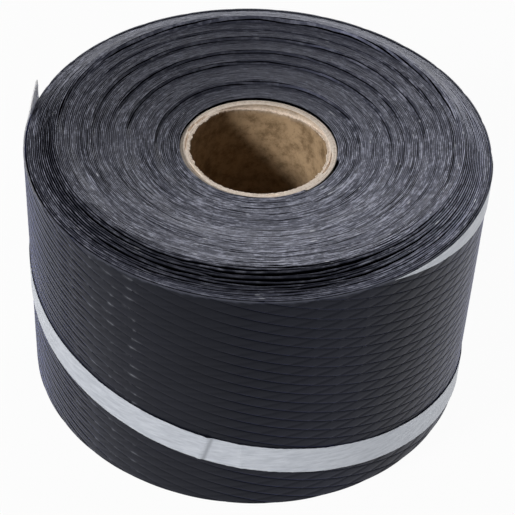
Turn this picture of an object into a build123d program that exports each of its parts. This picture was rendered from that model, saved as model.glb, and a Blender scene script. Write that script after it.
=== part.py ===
from build123d import *
import os
from math import atan, cos, pi

# Damp course strip, wound on a cardboard core and stood on end. Millimetres.
strip_width = 100.0
roll_diameter = 165.0
turn_pitch = 0.63

# The turns show on both ends as rings, with a groove after every few turns.
turns_per_ring = 2
ring_groove_width = 0.4
ring_groove_depth = 0.5

# Upper end: the turns step up in terraces from the core to a ridge, the last step, and
# fall away steeply from there to a brow, then gently to the rim. Rises are above the rim.
# On that shoulder, from ridge to brow, the turns stand apart with open gaps.
ridge_rise = 5.5
brow_rise = 0.8
dish_depth = 7.9
terrace_start_shares = (0.16, 0.35, 0.45, 0.57, 0.715, 0.805)
brow_share = 0.93
shoulder_groove_width = 0.7
shoulder_groove_depth = 2.0

# Cardboard core, pushed a little below the innermost turns.
core_bore = 50.0
core_wall = 3.0
core_recess = 1.0
core_clearance = 0.05

# Binding tape, one helix round the outside, cut off flush with both ends of the roll.
# The tip angle is where its lower edge meets the upper rim, in degrees from +X.
tape_width = 12.0
tape_thickness = 0.15
tape_lead = 88.5
tape_tip_angle = -56.0
adhesive_gap = 0.05

# Sizes that follow from these
roll_radius = roll_diameter / 2
core_radius = core_bore / 2 + core_wall
first_turn_radius = core_radius + core_clearance
wound_depth = roll_radius - first_turn_radius
ring_count = round(wound_depth / (turn_pitch * turns_per_ring))
ring_pitch = wound_depth / ring_count
ridge_share = terrace_start_shares[-1]


def upper_level(depth_share):
    """Height of the turns' upper edges at a share of the wound depth, from core to rim."""
    if depth_share >= brow_share:
        left_share = (1 - depth_share) / (1 - brow_share)
        return strip_width + brow_rise * left_share
    if depth_share >= ridge_share:
        left_share = (brow_share - depth_share) / (brow_share - ridge_share)
        return strip_width + brow_rise + (ridge_rise - brow_rise) * left_share
    risen = sum(depth_share >= start for start in terrace_start_shares)
    risen_share = risen / len(terrace_start_shares)
    return strip_width + ridge_rise - dish_depth * (1 - risen_share)


def upper_grooves(shares, levels):
    """Width and bottom of each groove on the upper end: wide and deep between ridge and brow."""
    grooves = []
    for ring in range(ring_count - 1):
        on_shoulder = shares[ring] >= ridge_share and shares[ring + 1] <= brow_share
        width = shoulder_groove_width if on_shoulder else ring_groove_width
        depth = shoulder_groove_depth if on_shoulder else ring_groove_depth
        grooves.append((width, min(levels[ring], levels[ring + 1]) - depth))
    return grooves


def end_outline(levels, grooves):
    """Points along one end of the wound strip, core to rim: flat rings parted by V grooves."""
    points = []
    for ring, level in enumerate(levels):
        inner = first_turn_radius + ring * ring_pitch
        outer = inner + ring_pitch
        if ring > 0:
            width, bottom = grooves[ring - 1]
            points.append((inner, bottom))
            inner += width / 2
        if ring < ring_count - 1:
            width, bottom = grooves[ring]
            outer -= width / 2
        points += [(inner, level), (outer, level)]
    return points


def wound_strip():
    """The whole strip as one turned solid, with its turns on both ends."""
    shares = [ring / (ring_count - 1) for ring in range(ring_count)]
    upper = [upper_level(share) for share in shares]
    lower = [0] * ring_count
    lower_grooves = [(ring_groove_width, ring_groove_depth)] * (ring_count - 1)
    upper_end = end_outline(upper, upper_grooves(shares, upper))
    lower_end = end_outline(lower, lower_grooves)
    section = Plane.XZ * make_face(Polyline(*upper_end, *lower_end[::-1], close=True))
    return revolve(section, Axis.Z)


def core_tube():
    """Plain cardboard tube, from the floor to a little below the innermost turns."""
    core_length = upper_level(0) - core_recess
    return extrude(Circle(core_radius) - Circle(core_bore / 2), core_length)


def binding_tape():
    """Thin strip that climbs the outer wall at a steady lead, from floor to upper rim."""
    climb_angle = atan(tape_lead / (pi * roll_diameter))
    arc_angle = 360 * tape_width / cos(climb_angle) / tape_lead
    turn_angle = 360 * strip_width / tape_lead
    inner_radius = roll_radius + adhesive_gap
    inner_arc, outer_arc = [
        CenterArc((0, 0), radius, tape_tip_angle + turn_angle, arc_angle)
        for radius in (inner_radius, inner_radius + tape_thickness)
    ]
    edges = [Line(inner_arc @ end, outer_arc @ end) for end in (0, 1)]
    section = make_face([inner_arc, outer_arc, *edges]).face()
    return Solid.extrude_linear_with_rotation(section, (0, 0, 0), (0, 0, strip_width), -turn_angle)


os.makedirs("parts", exist_ok=True)
nodes = {
    "wound_strip": wound_strip(),
    "core_tube": core_tube(),
    "binding_tape": binding_tape(),
}
for name, solid in nodes.items():
    export_step(solid, f"parts/{name}.step")
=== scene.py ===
"""Looks of a roll of damp proof course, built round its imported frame. Metres, +Z up."""
import math

import bpy
from mathutils import Matrix, Vector, noise


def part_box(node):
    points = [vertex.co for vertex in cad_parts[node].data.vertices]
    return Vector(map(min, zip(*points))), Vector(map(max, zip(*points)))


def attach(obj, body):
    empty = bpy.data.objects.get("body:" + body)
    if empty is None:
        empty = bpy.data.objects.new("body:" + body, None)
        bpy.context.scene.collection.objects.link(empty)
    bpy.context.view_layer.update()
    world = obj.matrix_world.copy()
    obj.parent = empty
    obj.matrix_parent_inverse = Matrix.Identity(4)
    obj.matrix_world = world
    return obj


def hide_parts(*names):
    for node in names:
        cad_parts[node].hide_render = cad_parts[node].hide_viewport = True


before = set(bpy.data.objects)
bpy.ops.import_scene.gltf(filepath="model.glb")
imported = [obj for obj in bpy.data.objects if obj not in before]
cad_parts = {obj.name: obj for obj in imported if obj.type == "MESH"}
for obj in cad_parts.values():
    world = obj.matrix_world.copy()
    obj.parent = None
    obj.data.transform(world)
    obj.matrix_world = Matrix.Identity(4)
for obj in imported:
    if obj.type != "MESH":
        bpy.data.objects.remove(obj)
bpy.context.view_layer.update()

MM = 0.001
TURN = 2 * math.pi

# Points of a mesh that are nearer than this are one
doubles_reach = 0.002 * MM

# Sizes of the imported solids
roll_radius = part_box("wound_strip")[1].x
strip_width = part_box("binding_tape")[1].z
core_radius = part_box("core_tube")[1].x
core_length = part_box("core_tube")[1].z
core_wall = 3 * MM
bore_radius = core_radius - core_wall

# The winding: 86 turns, the outermost made apart as a sheet, with room left for it outside the others
turn_pitch = 0.63 * MM
sheet_thickness = 0.5 * MM
sheet_room = 0.85 * MM
core_clearance = 0.05 * MM
wound_turns = 85
first_turn_radius = core_radius + core_clearance
last_turn_radius = roll_radius - sheet_room
tail_radius = roll_radius + turn_pitch / 2

# Upper end, as shares of the wound depth from core to rim and rises above the rim. At the back
# each terrace starts elsewhere, and some are lower or higher than at the front
terrace_start_shares = (0.155, 0.35, 0.45, 0.57, 0.71, 0.8)
back_shift_shares = (0.0, 0.01, 0.01, 0.01, -0.05, -0.043)
back_height_shares = (1.0, 1.0, 1.0, 1.0, 0.4, 1.6)
ridge_share = terrace_start_shares[-1]
brow_share = 0.93
ridge_rise = 5.5 * MM
brow_rise = 0.8 * MM
dish_depth = 7.9 * MM

# Where the first turns by the core are slack
slack_heading = (0.85, -0.53, 0)

# The strip's tail: a straight cut end at the left back. Its upper corner is turned up, from this share
# of the strip's width on
tail_angle = math.radians(167.5)
corner_lift = 8 * MM
corner_reach = 12.5 * MM
corner_foot_share = 0.72

# Embossing: flat diamonds, in whole numbers round the roll and half numbers up it, with a lap under
# the tail. The mesh has this many cuts to a diamond, pinched towards the grooves by this share
diamonds_round = 29
diamonds_high = 22.5
lap_diamonds = 0.25
diamond_width = TURN * tail_radius / diamonds_round
diamond_height = strip_width / diamonds_high
groove_sharpness = 65
cuts = 6
pinch = 0.75

# Bearings of the wall's smooth zone and of its zone of painted highlight dashes
smooth_angle = math.radians(247)
highlit_angle = math.radians(231)

# Binding tape, a helix cut off flush with both ends
tape_width = 12 * MM
tape_lead = 88.5 * MM
tape_tip_angle = math.radians(-56)
tape_thickness = 0.13 * MM
adhesive_gap = 0.05 * MM


def linear(hex_colour):
    """The linear RGBA of an sRGB hex colour."""
    shares = [int(hex_colour[k:k + 2], 16) / 255 for k in (1, 3, 5)]
    return [s / 12.92 if s <= 0.04045 else ((s + 0.055) / 1.055) ** 2.4 for s in shares] + [1.0]


def add(tree, kind, inputs=None, **settings):
    """Adds a node. An input is a value, a socket, or a node whose first output is meant."""
    node = tree.nodes.new(kind)
    for name, value in settings.items():
        setattr(node, name, value)
    for key, value in (inputs or {}).items():
        if isinstance(value, bpy.types.Node):
            value = value.outputs[0]
        if isinstance(value, bpy.types.NodeSocket):
            tree.links.new(value, node.inputs[key])
        else:
            node.inputs[key].default_value = value
    return node


def put(name, data):
    """An object that holds a mesh, a lamp or a lens, linked to the scene."""
    thing = bpy.data.objects.new(name, data)
    bpy.context.scene.collection.objects.link(thing)
    return thing


def emptied(owner):
    """The node tree of a material or of the world, with nothing in it."""
    owner.use_nodes = True
    owner.node_tree.nodes.clear()
    return owner.node_tree


def new_material(name):
    """A material and its node tree, with nothing in it yet."""
    material = bpy.data.materials.new(name)
    return material, emptied(material)


def end_material(tree, looks):
    """Closes a material's tree: a shader with these looks on its own sockets, and the output."""
    shader = add(tree, "ShaderNodeBsdfPrincipled", looks)
    add(tree, "ShaderNodeOutputMaterial", {"Surface": shader})


def new_growth(name, sizes):
    """A geometry tree with a named input for each size, and those inputs' sockets."""
    tree = bpy.data.node_groups.new(name, "GeometryNodeTree")
    tree.interface.new_socket("Geometry", in_out="OUTPUT", socket_type="NodeSocketGeometry")
    for label, value in sizes.items():
        kind = "NodeSocketInt" if isinstance(value, int) else "NodeSocketFloat"
        tree.interface.new_socket(label, in_out="INPUT", socket_type=kind)
    return tree, add(tree, "NodeGroupInput").outputs


def heading_at(tree, angle):
    """The level direction at an angle from +X."""
    return add(tree, "ShaderNodeCombineXYZ", {
        "X": add(tree, "ShaderNodeMath", {0: angle}, operation="COSINE"),
        "Y": add(tree, "ShaderNodeMath", {0: angle}, operation="SINE")})


def place_at(tree, heading, radius, height):
    """The point this far out along a heading, at this height."""
    spread = add(tree, "ShaderNodeVectorMath", {0: heading, "Scale": radius}, operation="SCALE")
    upright = add(tree, "ShaderNodeCombineXYZ", {"Z": height})
    return add(tree, "ShaderNodeVectorMath", {0: spread, 1: upright}, operation="ADD")


def lay(tree, grid, marks, target):
    """Stores marks on a grid's points, for its material to read, and moves the points to their target."""
    for label, value in marks.items():
        grid = add(tree, "GeometryNodeStoreNamedAttribute", {
            "Geometry": grid, "Name": label, "Value": value}, data_type="FLOAT", domain="POINT")
    return add(tree, "GeometryNodeSetPosition", {"Geometry": grid, "Position": target})


def end_growth(tree, geometry, material):
    """Closes a geometry tree: doubles merged, bare edges dropped, instances realised, material set."""
    merged = add(tree, "GeometryNodeMergeByDistance", {"Geometry": geometry, "Distance": doubles_reach})
    faces = add(tree, "GeometryNodeInputMeshEdgeNeighbors")
    bare = add(tree, "ShaderNodeMath", {0: faces, 1: 0.5}, operation="LESS_THAN")
    whole = add(tree, "GeometryNodeDeleteGeometry", {
        "Geometry": merged, "Selection": bare}, domain="EDGE")
    real = add(tree, "GeometryNodeRealizeInstances", {"Geometry": whole})
    coated = add(tree, "GeometryNodeSetMaterial", {"Geometry": real, "Material": material})
    add(tree, "NodeGroupOutput", {0: coated})


def grow(name, tree, sizes, thickness=0.0, offset=0.0):
    """Runs a geometry tree at these sizes, thickens a sheet, and keeps the result as a mesh."""
    piece = put(name, bpy.data.meshes.new(name))
    growth = piece.modifiers.new("growth", "NODES")
    growth.node_group = tree
    for item in tree.interface.items_tree:
        if item.in_out == "INPUT":
            growth[item.identifier] = sizes[item.name]
    if thickness:
        wall = piece.modifiers.new("wall", "SOLIDIFY")
        wall.thickness = thickness
        wall.offset = offset
    depsgraph = bpy.context.evaluated_depsgraph_get()
    mesh = bpy.data.meshes.new_from_object(
        piece.evaluated_get(depsgraph), preserve_all_data_layers=True, depsgraph=depsgraph)
    piece.modifiers.clear()
    piece.data = mesh
    mesh.name = name
    return piece


def polythene():
    """Black low-density polythene, calendered and embossed: a satin blue-black, paler where the corner is
    bent, whitened and with a painted sheen. Its grooves carry painted shade, its left flank a painted
    sheen, and dashes further left are painted highlights.
    """
    material, tree = new_material("embossed_black_polythene")
    place = add(tree, "ShaderNodeTexCoord").outputs["Object"]
    groove, lined, falling, dash_highlight, slit, pale_and_sheen = [
        add(tree, "ShaderNodeAttribute", attribute_name=label).outputs["Fac"]
        for label in ("groove", "lined", "falling", "dash_highlight", "slit", "pale_and_sheen")]
    # Clouds in tone and gloss, patches that break up the painted highlight dashes, and a fine grain
    cloud, patch, grain = [
        add(tree, "ShaderNodeTexNoise", {"Vector": place, "Scale": 1 / length, "Detail": detail})
        for length, detail in ((30 * MM, 3), (3 * MM, 2), (0.8 * MM, 2))]
    # Broader lines on and between the grooves, at every half of the count that runs across them
    line = falling
    for operation, other in (
            ("MULTIPLY", TURN), ("COSINE", 0), ("ABSOLUTE", 0), ("POWER", 9), ("MULTIPLY", lined)):
        line = add(tree, "ShaderNodeMath", {0: line, 1: other}, operation=operation)
    # Grooves and lines are darkened in the tone below and reflect less there, a painted shade
    groove = add(tree, "ShaderNodeMath", {0: groove, 1: line}, operation="MAXIMUM")
    # The left flank is painted paler between its lines, a painted sheen of the white surroundings
    flank_sheen = add(tree, "ShaderNodeMapRange", {"Value": lined, "From Min": 0.4})
    # The pale dashes are painted highlights, broken up by the patches
    patch = add(tree, "ShaderNodeMapRange", {"Value": patch, "From Min": 0.44, "From Max": 0.68})
    dash_highlight = add(tree, "ShaderNodeMath", {0: dash_highlight, 1: patch}, operation="MULTIPLY")
    tone = linear("#08090c")
    for share, colour in (
            (cloud, "#111319"), (flank_sheen, "#31343c"), (groove, "#020203"),
            (dash_highlight, "#7d7f86"), (slit, "#3f414b"), (pale_and_sheen, "#f2f2f8")):
        tone = add(tree, "ShaderNodeMix", {
            0: share, 6: tone, 7: linear(colour)}, data_type="RGBA").outputs[2]
    gloss = add(tree, "ShaderNodeMapRange", {"Value": cloud, "To Min": 0.24, "To Max": 0.38})
    shine = add(tree, "ShaderNodeMapRange", {"Value": groove, "To Min": 0.14, "To Max": 0.02})
    grainy = add(tree, "ShaderNodeBump", {"Strength": 0.25, "Distance": 0.05 * MM, "Height": grain})
    # The lines are pressed in, too finely for the mesh
    pressed = add(tree, "ShaderNodeBump", {
        "Strength": 1, "Distance": 0.35 * MM, "Height": line, "Normal": grainy}, invert=True)
    end_material(tree, {
        "Base Color": tone,
        "Roughness": gloss,
        "Specular IOR Level": shine,
        "Specular Tint": linear("#e4e8ff"),
        # Light comes through where the film is whitened
        "Subsurface Weight": pale_and_sheen,
        "Subsurface Radius": (1, 1, 1),
        "Subsurface Scale": 2 * MM,
        # A blue bloom shows where the film is seen at a slant
        "Sheen Weight": 0.55,
        "Sheen Roughness": 0.3,
        "Sheen Tint": linear("#98a5ff"),
        "Normal": pressed,
    })
    return material


def slit_edges():
    """The strip's slit edges, wound side by side: black, frosted by the knife and by handling, with a
    painted sheen on the same marks, strongest at the right and the front.
    """
    material, tree = new_material("slit_polythene_edges")
    place = add(tree, "ShaderNodeTexCoord").outputs["Object"]
    turn, frost_and_sheen, cleft, even = [
        add(tree, "ShaderNodeAttribute", attribute_name=label).outputs["Fac"]
        for label in ("turn", "frost_and_sheen", "cleft", "even")]
    # Patterns along the turns: how long a mark is, how far it changes from one turn to the next, from
    # which count on, and how fine it is
    marks = []
    for length, change, first, detail in (
            (4.5 * MM, 1.2, 0, 4), (16 * MM, 0.2, 40, 2), (5 * MM, 1.4, 80, 2), (5 * MM, 1.8, 120, 1)):
        count = add(tree, "ShaderNodeMath", {
            0: turn, 1: change * length, 2: first * length}, operation="MULTIPLY_ADD")
        marks.append(add(tree, "ShaderNodeTexNoise", {
            "Vector": place, "W": count, "Scale": 1 / length, "Detail": detail, "Roughness": 0.65},
            noise_dimensions="4D"))
    streak, stretch, dash, glint = marks
    fewer = add(tree, "ShaderNodeMapRange", {"Value": even, "To Min": 1, "To Max": 0.25})
    # Frosted streaks over a milky layer, which is thick where frost and painted sheen are heaviest
    white = add(tree, "ShaderNodeMapRange", {
        "Value": streak, "From Min": 0.42, "From Max": 0.72}, interpolation_type="SMOOTHSTEP")
    stretch = add(tree, "ShaderNodeMapRange", {
        "Value": stretch, "From Min": 0.35, "From Max": 0.65, "To Min": 0.65, "To Max": 1.3})
    for factor in (frost_and_sheen, stretch, fewer):
        white = add(tree, "ShaderNodeMath", {0: white, 1: factor}, operation="MULTIPLY")
    thick = add(tree, "ShaderNodeMapRange", {"Value": frost_and_sheen, "From Min": 1.2, "From Max": 2.6})
    thick = add(tree, "ShaderNodeMath", {0: even, 1: 0.13, 2: thick}, operation="MULTIPLY_ADD")
    # Here and there an edge dips out of the light, or a torn fibre catches it
    dash = add(tree, "ShaderNodeMapRange", {
        "Value": dash, "From Min": 0.54, "From Max": 0.66, "To Max": 0.85})
    dash = add(tree, "ShaderNodeMath", {0: dash, 1: fewer}, operation="MULTIPLY")
    glint = add(tree, "ShaderNodeMapRange", {
        "Value": glint, "From Min": 0.7, "From Max": 0.78, "To Max": 0.6})
    for factor in (frost_and_sheen, fewer):
        glint = add(tree, "ShaderNodeMath", {0: glint, 1: factor}, operation="MULTIPLY", use_clamp=True)
    # No light comes back from the clefts between the turns
    dark = add(tree, "ShaderNodeMapRange", {"Value": cleft, "From Min": 0.02, "From Max": 0.2})
    # The frost marks in the tone below are real frost with a painted sheen on top
    tone = linear("#0a0a0d")
    for share, colour in (
            (frost_and_sheen, "#23242e"), (thick, "#6a6c79"), (white, "#9fa1b0"),
            (dash, "#050506"), (glint, "#dcdde4"), (dark, "#010102")):
        tone = add(tree, "ShaderNodeMix", {
            0: share, 6: tone, 7: linear(colour)}, data_type="RGBA").outputs[2]
    gloss = add(tree, "ShaderNodeMapRange", {"Value": streak, "To Min": 0.28, "To Max": 0.5})
    shine = add(tree, "ShaderNodeMapRange", {"Value": dark, "To Min": 0.22, "To Max": 0})
    dull = add(tree, "ShaderNodeMapRange", {"Value": even, "To Min": 1, "To Max": 0.5})
    for factor in (frost_and_sheen, dull):
        shine = add(tree, "ShaderNodeMath", {0: shine, 1: factor}, operation="MULTIPLY")
    end_material(tree, {
        "Base Color": tone,
        "Roughness": gloss,
        "Specular IOR Level": shine,
        "Specular Tint": linear("#cdd4ff"),
    })
    return material


def core_board():
    """Spiral-wound kraft board: a mottled, specked brown bore, and a pale end of torn plies."""
    material, tree = new_material("kraft_core_board")
    place = add(tree, "ShaderNodeTexCoord").outputs["Object"]
    pale = add(tree, "ShaderNodeAttribute", attribute_name="pale").outputs["Fac"]
    mottle, fibre = [
        add(tree, "ShaderNodeTexNoise", {
            "Vector": place, "Scale": 1 / length, "Detail": detail, "Roughness": 0.7})
        for length, detail in ((5 * MM, 8), (1.1 * MM, 4))]
    stain = add(tree, "ShaderNodeMapRange", {
        "Value": mottle, "From Min": 0.3, "From Max": 0.62}, interpolation_type="SMOOTHSTEP")
    speck = add(tree, "ShaderNodeMapRange", {
        "Value": fibre, "From Min": 0.26, "From Max": 0.42, "To Min": 0.6, "To Max": 0})
    # The plies show on the end as rings some 0.5 mm wide
    flat = add(tree, "ShaderNodeMapping", {"Vector": place, "Scale": (1, 1, 0)})
    radius = add(tree, "ShaderNodeVectorMath", {0: flat}, operation="LENGTH").outputs["Value"]
    radius = add(tree, "ShaderNodeMath", {0: fibre, 1: 0.5 * MM, 2: radius}, operation="MULTIPLY_ADD")
    plies = add(tree, "ShaderNodeTexNoise", {
        "W": radius, "Scale": 1 / (0.45 * MM), "Detail": 1}, noise_dimensions="1D")
    worn = add(tree, "ShaderNodeMath", {0: plies, 1: fibre})
    worn = add(tree, "ShaderNodeMapRange", {"Value": worn, "From Min": 0.6, "From Max": 1.08})
    cut = add(tree, "ShaderNodeMix", {
        0: worn, 6: linear("#c2aa92"), 7: linear("#fff0e1")}, data_type="RGBA").outputs[2]
    tone = linear("#7d664a")
    for share, colour in ((stain, linear("#ba9e7c")), (speck, linear("#63492c")), (pale, cut)):
        tone = add(tree, "ShaderNodeMix", {0: share, 6: tone, 7: colour}, data_type="RGBA").outputs[2]
    rough = add(tree, "ShaderNodeBump", {"Strength": 0.7, "Distance": 0.25 * MM, "Height": fibre})
    end_material(tree, {
        "Base Color": tone,
        "Roughness": 0.85,
        "Specular IOR Level": 0.2,
        "Normal": rough,
    })
    return material


def tape_film():
    """Pale polypropylene tape: a satin film, faintly streaked along its length, with a painted shadow at
    the foot of its lap.
    """
    material, tree = new_material("pale_tape_film")
    place = add(tree, "ShaderNodeTexCoord").outputs["Object"]
    lap_shadow = add(tree, "ShaderNodeAttribute", attribute_name="lap_shadow").outputs["Fac"]
    # Streaks some 6 mm long and 1 mm high
    drawn = add(tree, "ShaderNodeMapping", {"Vector": place, "Scale": (1, 1, 6)})
    streak = add(tree, "ShaderNodeTexNoise", {
        "Vector": drawn, "Scale": 1 / (6 * MM), "Detail": 4, "Roughness": 0.6})
    pale = add(tree, "ShaderNodeMapRange", {"Value": streak, "From Min": 0.3, "From Max": 0.7})
    tone = linear("#b6bbc4")
    # The foot of the lap is darkened, a painted shadow
    for share, colour in ((pale, "#d5d9e1"), (lap_shadow, "#9a9ea6")):
        tone = add(tree, "ShaderNodeMix", {
            0: share, 6: tone, 7: linear(colour)}, data_type="RGBA").outputs[2]
    gloss = add(tree, "ShaderNodeMapRange", {"Value": streak, "To Min": 0.35, "To Max": 0.5})
    end_material(tree, {"Base Color": tone, "Roughness": gloss, "Specular IOR Level": 0.3})
    return material


def winding(material):
    """Every turn but the outermost, as one closed solid with its slit edges on both ends."""
    sizes = {
        "First Radius": first_turn_radius,
        "Last Radius": last_turn_radius,
        "Strip Width": strip_width,
        "Ridge Rise": ridge_rise,
        "Brow Rise": brow_rise,
        "Dish Depth": dish_depth,
        "Least Gap Share": 0.2,
        "Most Gap Share": 0.75,
        "Gap Depth": 0.8 * MM,
        "Shoulder Gap Share": 0.78,
        "Brow Gap Share": 0.64,
        "Shoulder Gap Depth": 2.6 * MM,
        "Turn Sink": 1.7 * MM,
        "Edge Tilt": 0.65,
        "Shoulder Edge Tilt": 0.3,
        "Terrace Wander": 0.05,
        "Ridge Wander": 0.1,
        "Turn Scatter": 0.8 * MM,
        "Shoulder Scatter": 2.2 * MM,
        "Underside Scatter": 0.2 * MM,
        "Edge Flutter": 0.4 * MM,
        "Edge Sway": 0.16 * MM,
        "Back Droop": 0.5 * MM,
        "Slack": 2.8 * MM,
        "Segments": 240,
    }
    tree, size = new_growth("winding", sizes)
    middle = add(tree, "ShaderNodeMath", {0: size["Strip Width"], 1: 0.5}, operation="MULTIPLY")
    depth = add(tree, "ShaderNodeMath", {
        0: size["Last Radius"], 1: size["First Radius"]}, operation="SUBTRACT")
    ends = []
    for way, turns in ((1, wound_turns), (-1, wound_turns // 2)):
        # Three steps to a turn: the cleft before it, then the inner and outer corner of its edge
        spans = 3 * turns + 2
        grid = add(tree, "GeometryNodeMeshGrid", {
            "Size X": spans, "Size Y": size["Segments"], "Vertices X": spans + 1,
            "Vertices Y": add(tree, "ShaderNodeMath", {0: size["Segments"], 1: 1})})
        spot = add(tree, "ShaderNodeSeparateXYZ", {0: add(tree, "GeometryNodeInputPosition")})
        shifted = add(tree, "ShaderNodeMath", {0: spot.outputs["X"], 1: spans / 2})
        step = add(tree, "ShaderNodeMath", {0: shifted}, operation="ROUND")
        inside = add(tree, "ShaderNodeMath", {
            0: step, 1: spans / 2, 2: spans / 2 - 0.5}, operation="COMPARE")
        past_seat = add(tree, "ShaderNodeMath", {0: step, 1: 1}, operation="SUBTRACT")
        third = add(tree, "ShaderNodeMath", {0: past_seat, 1: 3}, operation="DIVIDE")
        turn = add(tree, "ShaderNodeMath", {0: third}, operation="FLOOR")
        corner = add(tree, "ShaderNodeMath", {0: turn, 1: -3, 2: past_seat}, operation="MULTIPLY_ADD")
        on_edge = add(tree, "ShaderNodeMath", {0: corner, 1: 1}, operation="MINIMUM")
        middle_share = add(tree, "ShaderNodeMath", {0: turn, 1: 0.5})
        middle_share = add(tree, "ShaderNodeMath", {0: middle_share, 1: turns}, operation="DIVIDE")
        angle = add(tree, "ShaderNodeMath", {
            0: spot.outputs["Y"], 1: size["Segments"]}, operation="DIVIDE")
        angle = add(tree, "ShaderNodeMath", {0: angle, 1: TURN}, operation="MULTIPLY")
        heading = heading_at(tree, angle)
        right, back, _ = add(tree, "ShaderNodeSeparateXYZ", {0: heading}).outputs
        behind = add(tree, "ShaderNodeClamp", {"Value": back})
        # What changes from left to right: how tight the shoulder's gaps are, how pale its edges are at the
        # right, by wear and a painted sheen, and at the left, and how clean they are elsewhere
        tight, right_wear_and_sheen, left_paler, clean = [
            add(tree, "ShaderNodeMapRange", {
                "Value": right, "From Min": start, "From Max": stop, "To Min": first, "To Max": last})
            for start, stop, first, last in (
                (0.5, 0.9, 1, 0.75), (0.3, 0.9, 0.75, 3.6), (-0.9, -0.5, 0.7, 0), (0.2, 0.8, 0.85, 0))]
        # What changes from turn to turn: how ragged the ridge is, and how far the gaps are open
        ragged, open_share = [
            add(tree, "ShaderNodeTexNoise", {
                "Vector": heading, "Scale": scale, "Detail": 2,
                "W": add(tree, "ShaderNodeMath", {0: turn, 1: change, 2: first}, operation="MULTIPLY_ADD")},
                noise_dimensions="4D")
            for change, first, scale in ((1.7, 0, 3), (1.9, 70, 1.6))]
        # The turns stand further apart on the upper end's shoulder, between the ragged ridge and the
        # brow, but for the back, where they lie close
        ragged = add(tree, "ShaderNodeMath", {0: ragged, 1: 0.5}, operation="SUBTRACT")
        ragged = add(tree, "ShaderNodeMath", {
            0: ragged, 1: size["Ridge Wander"], 2: middle_share}, operation="MULTIPLY_ADD")
        loose = add(tree, "ShaderNodeMapRange", {
            "Value": back, "From Min": 0.1, "From Max": 0.6, "To Min": 1 if way > 0 else 0, "To Max": 0})
        shoulder, brow, fade = [
            add(tree, "ShaderNodeMapRange", {
                "Value": ragged, "From Min": start, "From Max": stop, "To Min": first, "To Max": last})
            for start, stop, first, last in (
                (ridge_share - 0.02, ridge_share + 0.05, 0, loose),
                (brow_share + 0.005, brow_share + 0.05, 0, loose),
                (ridge_share + 0.06, brow_share + 0.03, 1, 0))]
        apart_share = add(tree, "ShaderNodeMath", {0: shoulder, 1: brow}, operation="SUBTRACT")
        shoulder_gap = add(tree, "ShaderNodeMix", {
            0: fade, 2: size["Brow Gap Share"], 3: size["Shoulder Gap Share"]}, data_type="FLOAT")
        shoulder_gap = add(tree, "ShaderNodeMath", {0: shoulder_gap, 1: tight}, operation="MULTIPLY")
        # Elsewhere some stretches of some turns leave a wide gap, most hardly any
        open_share = add(tree, "ShaderNodeMapRange", {
            "Value": open_share, "From Min": 0.48, "From Max": 0.66,
            "To Min": size["Least Gap Share"], "To Max": size["Most Gap Share"]})
        close = add(tree, "ShaderNodeMapRange", {"Value": behind, "To Min": 1, "To Max": 0.35})
        open_share = add(tree, "ShaderNodeMath", {0: open_share, 1: close}, operation="MULTIPLY")
        gap = add(tree, "ShaderNodeMix", {
            0: apart_share, 2: open_share, 3: shoulder_gap}, data_type="FLOAT")
        gap_depth = add(tree, "ShaderNodeMix", {
            0: apart_share, 2: size["Gap Depth"], 3: size["Shoulder Gap Depth"]}, data_type="FLOAT")
        # Where the point lies across its turn, and what share of the wound depth that is
        near = add(tree, "ShaderNodeMath", {0: gap, 1: 0.5}, operation="MULTIPLY")
        far = add(tree, "ShaderNodeMath", {0: 1, 1: near}, operation="SUBTRACT")
        across = add(tree, "ShaderNodeMapRange", {
            "Value": corner, "From Min": 1, "From Max": 2, "To Min": near, "To Max": far})
        across = add(tree, "ShaderNodeMath", {0: across, 1: on_edge}, operation="MULTIPLY")
        wound = add(tree, "ShaderNodeMath", {0: turn, 1: across})
        share = add(tree, "ShaderNodeMath", {0: wound, 1: turns}, operation="DIVIDE", use_clamp=True)
        radius = add(tree, "ShaderNodeMath", {
            0: share, 1: depth, 2: size["First Radius"]}, operation="MULTIPLY_ADD")
        place = add(tree, "ShaderNodeVectorMath", {0: heading, "Scale": radius}, operation="SCALE")
        # The embossing ripples every edge, up and down and in and out, a little differently each turn.
        # Each turn also stands a little higher or lower than the next, by stretches of some 20 mm
        flutter, sway, scatter = [
            add(tree, "ShaderNodeTexNoise", {
                "Vector": place, "Scale": 1 / length, "Detail": detail,
                "W": add(tree, "ShaderNodeMath", {0: turn, 1: change, 2: first}, operation="MULTIPLY_ADD")},
                noise_dimensions="4D")
            for length, detail, change, first in (
                (5 * MM, 2, 2.3, 0), (9 * MM, 1, 2.3, 400), (20 * MM, 1, 30 * MM, 0))]
        flutter, sway, scatter = [
            add(tree, "ShaderNodeMath", {0: pattern, 1: 0.5}, operation="SUBTRACT")
            for pattern in (flutter, sway, scatter)]
        uneven = size["Underside Scatter"]
        if way > 0:
            uneven = add(tree, "ShaderNodeMix", {
                0: apart_share, 2: size["Turn Scatter"], 3: size["Shoulder Scatter"]}, data_type="FLOAT")
            uneven = add(tree, "ShaderNodeMath", {0: uneven, 1: close}, operation="MULTIPLY")
        rise = add(tree, "ShaderNodeMath", {0: scatter, 1: uneven}, operation="MULTIPLY")
        rise = add(tree, "ShaderNodeMath", {
            0: flutter, 1: size["Edge Flutter"], 2: rise}, operation="MULTIPLY_ADD")
        if way < 0:
            # The roll stands on the turns that reach lowest
            most = add(tree, "ShaderNodeMath", {0: size["Edge Flutter"], 1: uneven})
            drops = [add(tree, "ShaderNodeMath", {0: most, 1: 0.5}, operation="MULTIPLY")]
        else:
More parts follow.
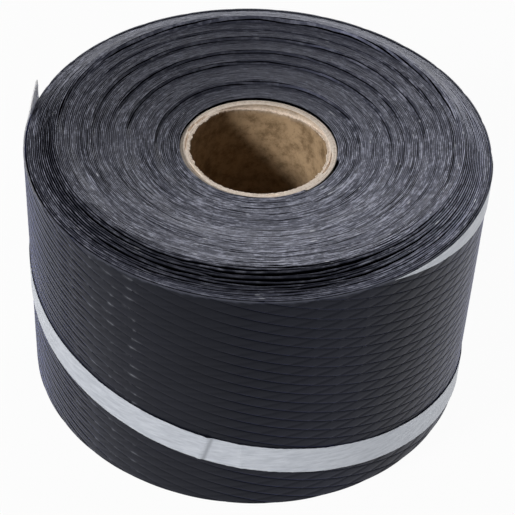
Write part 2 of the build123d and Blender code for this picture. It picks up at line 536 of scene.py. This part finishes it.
            # Terraces up to the ridge, then a steep fall to the brow and a gentle one to the rim.
            # The steps wander a little, and blur from the back of the roll to its front
            tilt = add(tree, "ShaderNodeMix", {
                0: apart_share, 2: size["Edge Tilt"], 3: size["Shoulder Edge Tilt"]}, data_type="FLOAT")
            level = add(tree, "ShaderNodeMix", {0: tilt, 2: middle_share, 3: share}, data_type="FLOAT")
            base = add(tree, "ShaderNodeMath", {
                0: size["Ridge Rise"], 1: size["Dish Depth"]}, operation="SUBTRACT")
            rise = add(tree, "ShaderNodeMath", {0: rise, 1: base})
            tread = add(tree, "ShaderNodeMath", {
                0: size["Dish Depth"], 1: len(terrace_start_shares)}, operation="DIVIDE")
            for start, shift, height_share in zip(
                    terrace_start_shares, back_shift_shares, back_height_shares):
                wander = add(tree, "ShaderNodeTexNoise", {
                    "Vector": heading, "W": 40 * start, "Scale": 1.6, "Detail": 2}, noise_dimensions="4D")
                blur = add(tree, "ShaderNodeMath", {0: wander, 1: 3, 2: back}, operation="MULTIPLY_ADD")
                blur = add(tree, "ShaderNodeMapRange", {
                    "Value": blur, "From Min": 0.6, "From Max": 1.7, "To Min": 0.13, "To Max": 0.009})
                wander = add(tree, "ShaderNodeMath", {0: wander, 1: 0.5}, operation="SUBTRACT")
                middle_step = add(tree, "ShaderNodeMath", {
                    0: wander, 1: size["Terrace Wander"], 2: start}, operation="MULTIPLY_ADD")
                middle_step = add(tree, "ShaderNodeMath", {
                    0: behind, 1: shift, 2: middle_step}, operation="MULTIPLY_ADD")
                foot = add(tree, "ShaderNodeMath", {0: middle_step, 1: blur}, operation="SUBTRACT")
                top = add(tree, "ShaderNodeMath", {0: middle_step, 1: blur})
                taller = add(tree, "ShaderNodeMapRange", {
                    "Value": behind, "To Min": 1, "To Max": height_share})
                step_rise = add(tree, "ShaderNodeMath", {0: tread, 1: taller}, operation="MULTIPLY")
                climb = add(tree, "ShaderNodeMapRange", {
                    "Value": level, "From Min": foot, "From Max": top, "To Max": step_rise},
                    interpolation_type="SMOOTHSTEP")
                rise = add(tree, "ShaderNodeMath", {0: rise, 1: climb})
            # On the shoulder every second turn or so is sunk at the front, here one and there another
            low = add(tree, "ShaderNodeTexNoise", {
                "Vector": heading, "Scale": 1.2, "Detail": 1,
                "W": add(tree, "ShaderNodeMath", {0: turn, 1: 0.3}, operation="MULTIPLY")},
                noise_dimensions="4D")
            low = add(tree, "ShaderNodeMath", {0: low, 1: 2, 2: turn}, operation="MULTIPLY_ADD")
            low = add(tree, "ShaderNodeMath", {0: low, 1: math.pi}, operation="MULTIPLY")
            low = add(tree, "ShaderNodeMath", {0: low}, operation="SINE")
            low = add(tree, "ShaderNodeMapRange", {"Value": low, "From Min": -0.3, "From Max": 0.5})
            front_sink = add(tree, "ShaderNodeMapRange", {
                "Value": add(tree, "ShaderNodeMath", {0: right}, operation="ABSOLUTE"),
                "From Min": 0.3, "From Max": 0.9, "To Min": size["Turn Sink"], "To Max": 0})
            for factor in (apart_share, fade, front_sink):
                low = add(tree, "ShaderNodeMath", {0: low, 1: factor}, operation="MULTIPLY")
            # At the back the last tread droops towards the rim
            droop = add(tree, "ShaderNodeMapRange", {
                "Value": level, "From Min": ridge_share - 0.03, "From Max": ridge_share + 0.03,
                "To Max": size["Back Droop"]})
            droop = add(tree, "ShaderNodeMath", {0: droop, 1: behind}, operation="MULTIPLY")
            # The first turns are slack at the right front, and leave a gap beside the core
            inmost = add(tree, "ShaderNodeMapRange", {
                "Value": turn, "From Min": 0.6, "From Max": 2, "To Min": 1, "To Max": 0})
            toward = add(tree, "ShaderNodeVectorMath", {
                0: heading, 1: slack_heading}, operation="DOT_PRODUCT").outputs["Value"]
            toward = add(tree, "ShaderNodeMath", {0: flutter, 1: 0.09, 2: toward}, operation="MULTIPLY_ADD")
            slack = add(tree, "ShaderNodeMapRange", {"Value": toward, "From Min": 0.925, "From Max": 0.97})
            hidden = add(tree, "ShaderNodeMath", {0: slack, 1: inmost}, operation="MULTIPLY")
            slack = add(tree, "ShaderNodeMath", {0: hidden, 1: size["Slack"]}, operation="MULTIPLY")
            drops = [low, droop, slack]
            steep = add(tree, "ShaderNodeMath", {
                0: size["Ridge Rise"], 1: size["Brow Rise"]}, operation="SUBTRACT")
            for start, stop, fall in (
                    (ridge_share + 0.02, brow_share, steep), (brow_share, 1.0, size["Brow Rise"])):
                drops.append(add(tree, "ShaderNodeMapRange", {
                    "Value": level, "From Min": start, "From Max": stop, "To Max": fall}))
        sunk = add(tree, "ShaderNodeMath", {0: 1, 1: on_edge}, operation="SUBTRACT")
        drops.append(add(tree, "ShaderNodeMath", {0: sunk, 1: gap_depth}, operation="MULTIPLY"))
        for drop in drops:
            rise = add(tree, "ShaderNodeMath", {0: rise, 1: drop}, operation="SUBTRACT")
        rim = add(tree, "ShaderNodeMath", {0: middle, 1: rise})
        height = add(tree, "ShaderNodeMath", {0: rim, 1: inside}, operation="MULTIPLY")
        height = add(tree, "ShaderNodeMath", {0: height, 1: way, 2: middle}, operation="MULTIPLY_ADD")
        for factor in (on_edge, inside):
            sway = add(tree, "ShaderNodeMath", {0: sway, 1: factor}, operation="MULTIPLY")
        reach = add(tree, "ShaderNodeMath", {
            0: sway, 1: size["Edge Sway"], 2: radius}, operation="MULTIPLY_ADD")
        target = place_at(tree, heading, reach, height)
        # The knife frosted the edges. On top of that a painted sheen makes them paler at the right and the
        # front and on the last tread at the back, and the brow is paler too. On the shoulder they are
        # nearly clean but for both sides, where they were handled, with a painted sheen at the right
        last_tread = add(tree, "ShaderNodeMapRange", {
            "Value": middle_share, "From Min": ridge_share - 0.07, "From Max": ridge_share - 0.03})
        last_tread = add(tree, "ShaderNodeMath", {0: last_tread, 1: behind}, operation="MULTIPLY")
        frost_and_sheen = 1.05
        for where, weight in ((right, 0.3), (back, -0.22), (last_tread, 0.75), (brow, 0.3)):
            frost_and_sheen = add(tree, "ShaderNodeMath", {0: where, 1: weight, 2: frost_and_sheen}, operation="MULTIPLY_ADD")
        handled_and_sheen = add(tree, "ShaderNodeMath", {0: right_wear_and_sheen, 1: left_paler})
        outermost = add(tree, "ShaderNodeMapRange", {"Value": fade, "To Min": 1.2, "To Max": 0.8})
        handled_and_sheen = add(tree, "ShaderNodeMath", {0: handled_and_sheen, 1: outermost}, operation="MULTIPLY")
        frost_and_sheen = add(tree, "ShaderNodeMix", {0: apart_share, 2: frost_and_sheen, 3: handled_and_sheen}, data_type="FLOAT")
        # Fewest flecks at the back, but for its last tread, and outside the ridge, but for both sides
        even = add(tree, "ShaderNodeMath", {0: last_tread, 1: -0.18, 2: behind}, operation="MULTIPLY_ADD")
        clean = add(tree, "ShaderNodeMath", {0: left_paler, 1: -0.6, 2: clean}, operation="MULTIPLY_ADD")
        clean = add(tree, "ShaderNodeMath", {0: clean, 1: shoulder}, operation="MULTIPLY")
        even = add(tree, "ShaderNodeMath", {0: even, 1: clean}, operation="MAXIMUM")
        if way > 0:
            sunk = add(tree, "ShaderNodeMath", {0: sunk, 1: hidden}, operation="MAXIMUM")
        marks = {"turn": turn, "frost_and_sheen": frost_and_sheen, "cleft": sunk, "even": even}
        ends.append(lay(tree, grid, marks, target))
    ends[1] = add(tree, "GeometryNodeFlipFaces", {0: ends[1]})
    both = add(tree, "GeometryNodeJoinGeometry")
    for end in ends:
        tree.links.new(end.outputs[0], both.inputs[0])
    end_growth(tree, both, material)
    return grow("wound_turns", tree, sizes)


def outer_turn(material):
    """The outermost turn: an embossed sheet from under its own tail round to the tail's cut end.

    The sheet is laid out in columns up the roll and rows along the falling grooves, so that both
    families of grooves run along edges of the mesh.
    """
    sizes = {
        "Strip Width": strip_width,
        "Tail Radius": tail_radius,
        "Turn Pitch": turn_pitch,
        "Tail Angle": tail_angle,
        "Diamond Width": diamond_width,
        "Diamond Height": diamond_height,
        "Groove Depth": 0.14 * MM,
        "Pillow Height": 0.035 * MM,
        "Clear of Floor": 0.3 * MM,
        "Sag": 0.25 * MM,
        "Corner Lift": corner_lift,
        "Corner Reach": corner_reach,
    }
    tree, size = new_growth("outer_turn", sizes)
    around = diamonds_round + lap_diamonds
    columns = round(around * 2 * cuts)
    rows = math.ceil((around + diamonds_high) * cuts)
    grid = add(tree, "GeometryNodeMeshGrid", {
        "Size X": columns / cuts, "Size Y": rows / cuts,
        "Vertices X": columns + 1, "Vertices Y": rows + 1})
    spot = add(tree, "ShaderNodeSeparateXYZ", {0: add(tree, "GeometryNodeInputPosition")})
    counts = []
    for axis, span in (("X", columns / cuts), ("Y", rows / cuts)):
        # Pinched towards whole numbers, where the grooves are
        even = add(tree, "ShaderNodeMath", {0: spot.outputs[axis], 1: span / 2})
        wave = add(tree, "ShaderNodeMath", {0: even, 1: TURN}, operation="MULTIPLY")
        wave = add(tree, "ShaderNodeMath", {0: wave}, operation="SINE")
        counts.append(add(tree, "ShaderNodeMath", {
            0: wave, 1: -pinch / TURN, 2: even}, operation="MULTIPLY_ADD"))
    along = add(tree, "ShaderNodeMath", {0: counts[0], 1: 0.5}, operation="MULTIPLY")
    up = add(tree, "ShaderNodeMath", {0: counts[1], 1: along}, operation="SUBTRACT")
    lowest = add(tree, "ShaderNodeMath", {
        0: size["Clear of Floor"], 1: size["Diamond Height"]}, operation="DIVIDE")
    up = add(tree, "ShaderNodeClamp", {"Value": up, "Min": lowest, "Max": diamonds_high})
    falling = add(tree, "ShaderNodeMath", {0: up, 1: along})
    rising = add(tree, "ShaderNodeMath", {0: up, 1: along}, operation="SUBTRACT")
    length = add(tree, "ShaderNodeMath", {0: along, 1: size["Diamond Width"]}, operation="MULTIPLY")
    swing = add(tree, "ShaderNodeMath", {0: length, 1: size["Tail Radius"]}, operation="DIVIDE")
    angle = add(tree, "ShaderNodeMath", {0: swing, 1: size["Tail Angle"]})
    heading = heading_at(tree, angle)
    # The embossing is faint at the left of the front, and carries painted highlight dashes further left
    zones = []
    for middle, start, stop in ((smooth_angle, 0.92, 0.99), (highlit_angle, 0.955, 0.985)):
        toward = add(tree, "ShaderNodeVectorMath", {
            0: heading, 1: (math.cos(middle), math.sin(middle), 0)}, operation="DOT_PRODUCT")
        zones.append(add(tree, "ShaderNodeMapRange", {
            "Value": toward.outputs["Value"], "From Min": start, "From Max": stop},
            interpolation_type="SMOOTHSTEP"))
    smooth, highlit = zones
    crisp = add(tree, "ShaderNodeMapRange", {"Value": smooth, "To Min": 1, "To Max": 0.3})
    # The rising grooves are faint, less so towards the right flank
    right = add(tree, "ShaderNodeSeparateXYZ", {0: heading}).outputs["X"]
    crossing = add(tree, "ShaderNodeMapRange", {
        "Value": right, "From Max": 0.9, "To Min": 0.15, "To Max": 0.7})
    crossing = add(tree, "ShaderNodeMath", {0: crossing, 1: crisp}, operation="MULTIPLY")
    # How near a point is to the grooves of each family, and how deep these are there
    nearness, seams = [], []
    for wave in (falling, rising):
        for operation, other in (("MULTIPLY", math.pi), ("COSINE", 0), ("ABSOLUTE", 0)):
            wave = add(tree, "ShaderNodeMath", {0: wave, 1: other}, operation=operation)
        nearness.append(wave)
        seams.append(add(tree, "ShaderNodeMath", {0: wave, 1: groove_sharpness}, operation="POWER"))
    hollows = [
        add(tree, "ShaderNodeMath", {0: seam, 1: strength}, operation="MULTIPLY")
        for seam, strength in zip(seams, (crisp, crossing))]
    flat = add(tree, "ShaderNodeMath", {0: nearness[0], 1: nearness[1]}, operation="MAXIMUM")
    flat = add(tree, "ShaderNodeMath", {0: flat, 1: 3}, operation="POWER")
    # The sheet lies a little unevenly on the turns below, and winds in by one pitch to a turn
    height = add(tree, "ShaderNodeMath", {0: up, 1: size["Diamond Height"]}, operation="MULTIPLY")
    place = place_at(tree, heading, roll_radius, height)
    cloud = add(tree, "ShaderNodeTexNoise", {"Vector": place, "Scale": 1 / (28 * MM), "Detail": 2})
    lap_share = add(tree, "ShaderNodeMath", {0: swing, 1: TURN}, operation="DIVIDE")
    inward = add(tree, "ShaderNodeMath", {0: flat, 1: size["Pillow Height"]}, operation="MULTIPLY")
    for share, label in (
            (hollows[0], "Groove Depth"), (hollows[1], "Groove Depth"),
            (cloud, "Sag"), (lap_share, "Turn Pitch")):
        inward = add(tree, "ShaderNodeMath", {
            0: share, 1: size[label], 2: inward}, operation="MULTIPLY_ADD")
    # The tail's upper corner is turned up
    corner = add(tree, "ShaderNodeMapRange", {
        "Value": length, "From Max": size["Corner Reach"], "To Min": 1, "To Max": 0})
    high = add(tree, "ShaderNodeMapRange", {
        "Value": up, "From Min": corner_foot_share * diamonds_high, "From Max": diamonds_high},
        interpolation_type="SMOOTHSTEP")
    lift = add(tree, "ShaderNodeMath", {0: corner, 1: high}, operation="MULTIPLY")
    height = add(tree, "ShaderNodeMath", {
        0: lift, 1: size["Corner Lift"], 2: height}, operation="MULTIPLY_ADD")
    radius = add(tree, "ShaderNodeMath", {0: size["Tail Radius"], 1: inward}, operation="SUBTRACT")
    target = place_at(tree, heading, radius, height)
    # The grooves, which the film's material darkens as a painted shade
    groove = add(tree, "ShaderNodeMath", {0: hollows[0], 1: hollows[1]}, operation="MAXIMUM")
    # The left flank has a second line between every two falling grooves
    lined = add(tree, "ShaderNodeMapRange", {
        "Value": right, "From Min": -0.92, "From Max": -0.65, "To Min": 1, "To Max": 0})
    # The painted highlights are dashes along the falling grooves, where the rising ones cross them
    dash_highlight = add(tree, "ShaderNodeMath", {0: nearness[1], 1: 4}, operation="POWER")
    for factor in (seams[0], highlit):
        dash_highlight = add(tree, "ShaderNodeMath", {0: dash_highlight, 1: factor}, operation="MULTIPLY")
    # The turned-up corner is whitened where it stands above the rim, and carries a painted sheen
    whitened_and_sheen = add(tree, "ShaderNodeMapRange", {"Value": lift, "From Min": 0.01, "From Max": 0.12})
    above = add(tree, "ShaderNodeMath", {0: height, 1: size["Strip Width"]}, operation="SUBTRACT")
    above = add(tree, "ShaderNodeMapRange", {"Value": above, "From Min": -2 * MM, "From Max": 0.5 * MM})
    whitened_and_sheen = add(tree, "ShaderNodeMath", {0: whitened_and_sheen, 1: above}, operation="MULTIPLY")
    # Along the rim near the tail the film is paler too, whitening with a painted sheen
    by_tail = add(tree, "ShaderNodeMapRange", {
        "Value": length, "From Max": 6 * corner_reach, "To Min": 0.5, "To Max": 0})
    by_rim = add(tree, "ShaderNodeMapRange", {
        "Value": up, "From Min": diamonds_high - 0.1, "From Max": diamonds_high})
    rim = add(tree, "ShaderNodeMath", {0: by_tail, 1: by_rim}, operation="MULTIPLY")
    whitened_and_sheen = add(tree, "ShaderNodeMath", {0: whitened_and_sheen, 1: rim}, operation="MAXIMUM")
    marks = {
        "groove": groove, "falling": falling, "lined": lined,
        "dash_highlight": dash_highlight, "slit": by_rim, "pale_and_sheen": whitened_and_sheen}
    end_growth(tree, lay(tree, grid, marks, target), material)
    return grow("outer_turn", tree, sizes, sheet_thickness, -1)


def binding_tape(material):
    """One helix of tape from the upper rim to the floor, with a lap in it near the front."""
    climb = math.atan(tape_lead / (TURN * roll_radius))
    sizes = {
        "Strip Width": strip_width,
        "Tail Radius": tail_radius + adhesive_gap,
        "Turn Pitch": turn_pitch,
        "Tail Angle": tail_angle,
        "Tip Angle": tape_tip_angle,
        "Lead": tape_lead,
        "Edge Height": tape_width / math.cos(climb),
        "Lap Angle": math.radians(316),
        "Lap Height": 0.24 * MM,
        "Crease Angle": math.radians(325.6),
        "Crease Height": 0.12 * MM,
        "Crinkle": 0.12 * MM,
        "Edge Wander": 0.6 * MM,
        "Edge Fray": 0.35 * MM,
    }
    tree, size = new_growth("binding_tape", sizes)
    columns, rows = 1240, 18
    sweep = (strip_width + sizes["Edge Height"]) / tape_lead * TURN
    grid = add(tree, "GeometryNodeMeshGrid", {
        "Size X": 1, "Size Y": 1, "Vertices X": columns + 1, "Vertices Y": rows + 1})
    spot = add(tree, "ShaderNodeSeparateXYZ", {0: add(tree, "GeometryNodeInputPosition")})
    across = add(tree, "ShaderNodeMath", {0: spot.outputs["Y"], 1: 0.5})
    swing = add(tree, "ShaderNodeMapRange", {
        "Value": spot.outputs["X"], "From Min": -0.5, "From Max": 0.5, "To Max": sweep})
    drop = swing
    for factor in (1 / TURN, size["Lead"]):
        drop = add(tree, "ShaderNodeMath", {0: drop, 1: factor}, operation="MULTIPLY")
    lower = add(tree, "ShaderNodeMath", {0: size["Strip Width"], 1: drop}, operation="SUBTRACT")
    upper = add(tree, "ShaderNodeMath", {0: lower, 1: size["Edge Height"]})
    edges = []
    for edge, start in ((lower, 0), (upper, 30)):
        # Both edges wander and fray, each in its own way
        apart = add(tree, "ShaderNodeMath", {0: swing, 1: start})
        for label, scale in (("Edge Wander", 5), ("Edge Fray", 50)):
            shift = add(tree, "ShaderNodeTexNoise", {
                "W": apart, "Scale": scale, "Detail": 2}, noise_dimensions="1D")
            shift = add(tree, "ShaderNodeMath", {0: shift, 1: 0.5}, operation="SUBTRACT")
            edge = add(tree, "ShaderNodeMath", {
                0: shift, 1: size[label], 2: edge}, operation="MULTIPLY_ADD")
        edges.append(add(tree, "ShaderNodeClamp", {"Value": edge, "Min": 0, "Max": size["Strip Width"]}))
    height = add(tree, "ShaderNodeMix", {0: across, 2: edges[0], 3: edges[1]}, data_type="FLOAT")
    angle = add(tree, "ShaderNodeMath", {0: swing, 1: size["Tip Angle"]})
    # How far round from the strip's tail: the tape follows the sheet, and bridges the tail's step
    turned = angle
    for operation, other in (("SUBTRACT", size["Tail Angle"]), ("DIVIDE", TURN), ("FRACT", 0)):
        turned = add(tree, "ShaderNodeMath", {0: turned, 1: other}, operation=operation)
    bridge = add(tree, "ShaderNodeMapRange", {
        "Value": turned, "From Min": 0.982, "From Max": 0.9999, "To Min": 1, "To Max": 0},
        interpolation_type="SMOOTHSTEP")
    inward = turned
    for factor in (bridge, size["Turn Pitch"]):
        inward = add(tree, "ShaderNodeMath", {0: inward, 1: factor}, operation="MULTIPLY")
    # The lap: the layer from the left ends on the one below, puckered up along a slightly slanted line
    slant = add(tree, "ShaderNodeMath", {
        0: across, 1: 0.035, 2: size["Lap Angle"]}, operation="MULTIPLY_ADD")
    past = add(tree, "ShaderNodeMath", {0: swing, 1: slant}, operation="SUBTRACT")
    layer = add(tree, "ShaderNodeMapRange", {
        "Value": past, "From Min": -0.3, "From Max": 0, "To Max": size["Lap Height"]})
    lap_end = add(tree, "ShaderNodeMapRange", {
        "Value": past, "From Min": -0.004, "From Max": 0.008, "To Min": 1, "To Max": 0})
    outward = add(tree, "ShaderNodeMath", {0: layer, 1: lap_end}, operation="MULTIPLY")
    pucker = add(tree, "ShaderNodeMath", {0: past, 1: 0.012})
    fold = add(tree, "ShaderNodeMath", {0: swing, 1: size["Crease Angle"]}, operation="SUBTRACT")
    foot = add(tree, "ShaderNodeMath", {0: past, 1: 0.01}, operation="SUBTRACT")
    near_by = []
    for offset, width in ((pucker, 0.018), (fold, 0.014), (foot, 0.013)):
        offset = add(tree, "ShaderNodeMath", {0: offset}, operation="ABSOLUTE")
        near_by.append(add(tree, "ShaderNodeMapRange", {
            "Value": offset, "From Max": width, "To Min": 1, "To Max": 0},
            interpolation_type="SMOOTHSTEP"))
    pucker, fold, foot = near_by
    for ridge, label in ((pucker, "Lap Height"), (fold, "Crease Height")):
        outward = add(tree, "ShaderNodeMath", {
            0: ridge, 1: size[label], 2: outward}, operation="MULTIPLY_ADD")
    # The film is slightly crinkled along its length
    along = add(tree, "ShaderNodeMath", {0: angle, 1: size["Tail Radius"]}, operation="MULTIPLY")
    spread = add(tree, "ShaderNodeCombineXYZ", {
        "X": along, "Y": add(tree, "ShaderNodeMath", {0: height, 1: 4}, operation="MULTIPLY")})
    crinkle = add(tree, "ShaderNodeTexNoise", {"Vector": spread, "Scale": 1 / (7 * MM), "Detail": 2})
    outward = add(tree, "ShaderNodeMath", {
        0: crinkle, 1: size["Crinkle"], 2: outward}, operation="MULTIPLY_ADD")
    radius = add(tree, "ShaderNodeMath", {0: size["Tail Radius"], 1: inward}, operation="SUBTRACT")
    radius = add(tree, "ShaderNodeMath", {0: radius, 1: outward})
    target = place_at(tree, heading_at(tree, angle), radius, height)
    # The foot of the lap is stored for the material's painted shadow
    end_growth(tree, lay(tree, grid, {"lap_shadow": foot}, target), material)
    return grow("tape_helix", tree, sizes, tape_thickness, 1)


def core_tube(material):
    """The core: a board tube with a ragged upper end, its inmost ply torn lower at the back."""
    segments = 540
    ply = 0.45 * MM

    def swell(bearing, middle, half):
        """1 at the middle bearing, down to 0 half a span away, in degrees from the front."""
        return max(0.0, 1 - (((bearing - middle + 180) % 360 - 180) / half) ** 2)

    # Cracks between plies on the end: the bearing of the middle, half the span, and how far across
    cracks = ((-124, 9, 0.3), (-112, 7, 0.45), (-93, 12, 0.3), (-58, 10, 0.3), (75, 16, 0.3), (12, 5, 0.3))
    verts, pale = [], []
    for k in range(segments):
        angle = TURN * k / segments
        # Bearing from the front, positive to the right
        bearing = math.degrees((angle + math.pi / 2 + math.pi) % TURN - math.pi)
        heading = Vector((math.cos(angle), math.sin(angle), 0))
        rough = noise.noise(heading * 9)
        fine = noise.noise(heading * 34 + Vector((0, 0, 5)))
        left = swell(bearing, -95, 66)
        right = swell(bearing, 85, 58)
        back = swell(bearing, 162, 56)
        # How far the inmost ply is frayed inwards, and how far below the end it is torn off
        frayed = (0.15 + 0.65 * left + 0.5 * right) * (1 + 0.7 * rough) + 0.5 * fine * (1 - back)
        torn = 0.12 + 0.5 * right + 2.3 * back + (0.12 + 0.25 * back) * (rough + fine)
        inner = bore_radius - max(0.0, frayed) * MM
        ledge = core_length - max(0.05, torn) * MM
        lip = core_length + 0.15 * fine * MM
        outline = [
            (bore_radius, 0.0, 0),
            (bore_radius, core_length * 0.3, 0),
            (bore_radius, core_length * 0.6, 0),
            (bore_radius, core_length * 0.8, 0),
            (bore_radius, ledge - 2.2 * MM, 0),
            (0.6 * bore_radius + 0.4 * inner, ledge - 0.9 * MM, 0.15),
            (inner, ledge - 0.3 * MM, 0.6),
            (inner + 0.14 * MM, ledge, 1),
            (bore_radius + ply * 0.9, ledge + 0.02 * MM, 0.9),
            (bore_radius + ply, max(ledge + 0.03 * MM, lip - 0.2 * MM), 0.85 - 0.7 * back),
            (bore_radius + ply * 1.3, lip + 0.01 * MM, 1),
        ]
        for share in (0.3, 0.45, 0.6, 0.75, 0.9):
            dip = 0.08 * noise.noise(Vector((angle * 14, share * 40, 2)))
            for middle, half, at in cracks:
                if at == share:
                    dip -= 1.1 * swell(bearing, middle + 2 * rough, half)
            outline.append((bore_radius + share * (core_radius - bore_radius), core_length + dip * MM, 1))
        outline += [
            (core_radius - 0.05 * MM, core_length - 0.12 * MM, 1),
            (core_radius, core_length - 0.5 * MM, 0.4),
            (core_radius, 0.0, 0),
        ]
        verts += [heading * radius + Vector((0, 0, height)) for radius, height, _ in outline]
        pale += [share for _, _, share in outline]
    count = len(outline)
    faces = []
    for k in range(segments):
        here, there = k * count, (k + 1) % segments * count
        for step in range(count):
            after = (step + 1) % count
            faces.append((here + step, here + after, there + after, there + step))
    mesh = bpy.data.meshes.new("core_board_tube")
    mesh.from_pydata(verts, [], faces)
    mesh.attributes.new("pale", "FLOAT", "POINT").data.foreach_set("value", pale)
    mesh.materials.append(material)
    return put("core_board_tube", mesh)


def seen_share(tree):
    """1 for rays from the camera, from gloss and through clear things, which see the white, else 0."""
    path = add(tree, "ShaderNodeLightPath").outputs
    seen = path["Is Camera Ray"]
    for ray in ("Is Glossy Ray", "Is Transmission Ray"):
        seen = add(tree, "ShaderNodeMath", {0: seen, 1: path[ray]}, operation="MAXIMUM")
    return seen


def studio():
    """A white floor that still takes a shadow, white surroundings, and soft lamps."""
    half = 4.0
    glow_share = 0.96
    ambient = 0.04
    floor_mesh = bpy.data.meshes.new("floor")
    floor_mesh.from_pydata(
        [(-half, -half, 0), (half, -half, 0), (half, half, 0), (-half, half, 0)], [], [(0, 1, 2, 3)])
    floor = put("floor", floor_mesh)
    paper, tree = new_material("white_paper_floor")
    matt = add(tree, "ShaderNodeBsdfDiffuse", {"Color": linear("#c8c8c8")})
    glow = add(tree, "ShaderNodeEmission", {"Color": linear("#ffffff")})
    share = add(tree, "ShaderNodeMath", {0: seen_share(tree), 1: glow_share}, operation="MULTIPLY")
    mixed = add(tree, "ShaderNodeMixShader", {0: share, 1: matt, 2: glow})
    add(tree, "ShaderNodeOutputMaterial", {"Surface": mixed})
    floor_mesh.materials.append(paper)

    world = bpy.data.worlds.new("white_surroundings")
    bpy.context.scene.world = world
    tree = emptied(world)
    strength = add(tree, "ShaderNodeMapRange", {"Value": seen_share(tree), "To Min": ambient})
    glow = add(tree, "ShaderNodeBackground", {"Color": linear("#ffffff"), "Strength": strength})
    add(tree, "ShaderNodeOutputWorld", {"Surface": glow})

    # Each lamp's place, its sides, and its watts. All point at the roll, a little above its middle
    lamps = {
        "key_lamp": ((-0.78, -0.62, 0.68), (0.24, 0.24), 10.0),
        "fill_lamp": ((0.75, -0.7, 0.1), (0.6, 0.12), 4.0),
        "back_lamp": ((0.1, 1.1, 0.42), (0.9, 0.36), 4.5),
        "top_lamp": ((0.1, 0.9, 0.95), (0.5, 0.5), 2.0),
    }
    lit_point = Vector((0, 0, strip_width * 0.6))
    for name, (place, sides, watts) in lamps.items():
        light = bpy.data.lights.new(name, "AREA")
        light.shape = "RECTANGLE"
        light.size, light.size_y = sides
        light.energy = watts
        lamp = put(name, light)
        lamp.location = place
        aim = lit_point - lamp.location
        lamp.rotation_euler = aim.to_track_quat("-Z", "Y").to_euler()


def camera():
    """The photograph's view: a long lens in front of the roll and above it, a little rolled."""
    place = (0, -0.46053, 0.46537)
    aside, downward, roll = -0.0038, 0.7411, 0.0557
    lens = bpy.data.cameras.new("camera")
    lens.sensor_width = 36
    lens.lens = 116.07
    lens.clip_start = 0.01
    view = put("camera", lens)
    view.matrix_world = (
        Matrix.Translation(place)
        @ Matrix.Rotation(aside, 4, "Z")
        @ Matrix.Rotation(math.pi / 2 - downward, 4, "X")
        @ Matrix.Rotation(roll, 4, "Z"))
    bpy.context.scene.camera = view


edges = slit_edges()
film = polythene()
board = core_board()
tape = tape_film()
pieces = (
    (winding(edges), "wound_strip", "embossed_polythene"),
    (outer_turn(film), "wound_strip", "embossed_polythene"),
    (core_tube(board), "core_tube", "core_board"),
    (binding_tape(tape), "binding_tape", "tape_film"),
)
for piece, node, slot in pieces:
    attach(piece, "root")
    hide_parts(node)

studio()
camera()
bpy.context.scene.view_settings.view_transform = "Standard"
